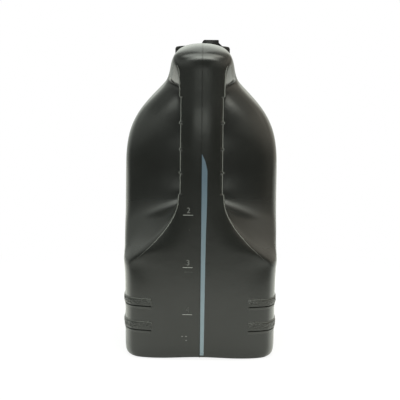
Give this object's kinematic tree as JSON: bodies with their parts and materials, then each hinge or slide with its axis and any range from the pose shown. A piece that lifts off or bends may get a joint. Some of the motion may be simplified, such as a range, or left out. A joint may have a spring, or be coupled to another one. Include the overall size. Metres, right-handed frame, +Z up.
{
  "type": "motor oil bottle",
  "caption": "Tall dark plastic oil bottle with a hollow grip handle along one narrow side, finger scoops, a pale level stripe, and a ribbed screw cap on a threaded neck.",
  "frame": {"origin": "under the middle of the body, on the plane that the bottle stands on", "axes": "+Z up; the grip handle is at -Y and the neck stands forward of the middle; +X and -X are the two broad sides"},
  "size_m": [0.148, 0.195, 0.2941],
  "materials": {
    "bottle_plastic": "satin black-grey high-density polyethylene",
    "cap_plastic": "satin black polypropylene",
    "liner_foam": "matt white polyethylene foam"
  },
  "bodies": {
    "bottle_body": {"bottle": "bottle_plastic", "tamper_ring": "cap_plastic"},
    "liner_body": {"seal_liner": "liner_foam"},
    "cap_body": {"cap": "cap_plastic"}
  },
  "joints": [
    {"name": "cap_lift", "type": "slide", "parent": "bottle_body", "child": "liner_body", "axis": [0, 0, 1], "range_m": [0, 0.0215]},
    {"name": "cap_turn", "type": "hinge", "parent": "liner_body", "child": "cap_body", "pos_m": [0, 0.024, 0.275], "axis": [0, 0, 1], "range_deg": [0, 765]}
  ],
  "couplings": [
    {"joint": "cap_lift", "follows": "cap_turn", "m_per_rad": 0.0015915}
  ]
}
